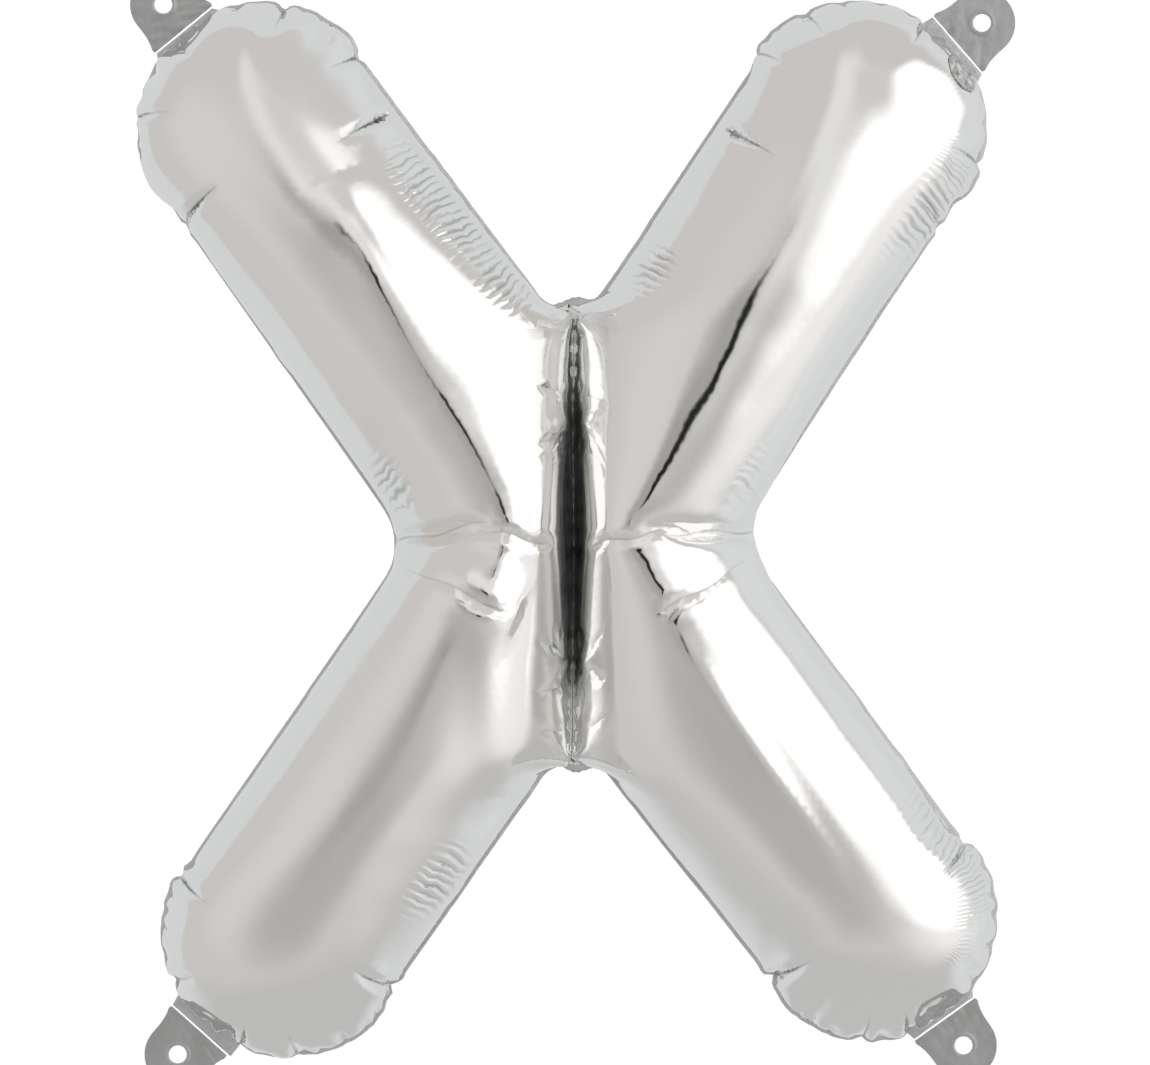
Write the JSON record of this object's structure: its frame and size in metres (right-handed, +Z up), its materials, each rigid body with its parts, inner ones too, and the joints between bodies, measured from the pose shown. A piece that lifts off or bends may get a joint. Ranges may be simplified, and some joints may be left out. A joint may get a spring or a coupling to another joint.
{
  "type": "letter foil balloon",
  "caption": "Inflated silver foil balloon in the form of the letter X, with hanging tabs that fold at its welded edge and a filling valve.",
  "frame": {"origin": "midway between the holes of the two upper tabs, on the line that the balloon hangs from", "axes": "+X to the letter's right as it is read, +Z up, the letter's front faces -Y and its welded edge lies in the XZ plane"},
  "size_m": [0.292, 0.0732, 0.3683],
  "materials": {
    "foil": "bright metallised film, slightly puckered",
    "weld": "metallised film, welded flat",
    "tab": "metallised film, flat, mid grey",
    "valve": "metallised film, mottled and dull"
  },
  "bodies": {
    "envelope": {"front_foil": "foil", "back_foil": "foil", "edge_weld": "weld", "centre_weld": "weld", "filling_valve": "valve"},
    "tab_upper_left": {"tab_upper_left": "tab"},
    "tab_upper_right": {"tab_upper_right": "tab"},
    "tab_lower_left": {"tab_lower_left": "tab"},
    "tab_lower_right": {"tab_lower_right": "tab"}
  },
  "joints": [
    {"name": "tab_upper_left_fold", "type": "hinge", "parent": "envelope", "child": "tab_upper_left", "pos_m": [-0.12821, 0, -0.00533], "axis": [-0.7738, 0, -0.6334], "range_deg": [-70, 70], "stiffness_Nm_per_rad": 0.00002},
    {"name": "tab_upper_right_fold", "type": "hinge", "parent": "envelope", "child": "tab_upper_right", "pos_m": [0.1269, 0, -0.01012], "axis": [-0.6561, 0, 0.7547], "range_deg": [-70, 70], "stiffness_Nm_per_rad": 0.00002},
    {"name": "tab_lower_left_fold", "type": "hinge", "parent": "envelope", "child": "tab_lower_left", "pos_m": [-0.12309, 0, -0.33529], "axis": [0.7466, 0, -0.6652], "range_deg": [-70, 70], "stiffness_Nm_per_rad": 0.00002},
    {"name": "tab_lower_right_fold", "type": "hinge", "parent": "envelope", "child": "tab_lower_right", "pos_m": [0.12269, 0, -0.33159], "axis": [0.8131, 0, 0.5821], "range_deg": [-70, 70], "stiffness_Nm_per_rad": 0.00002}
  ]
}
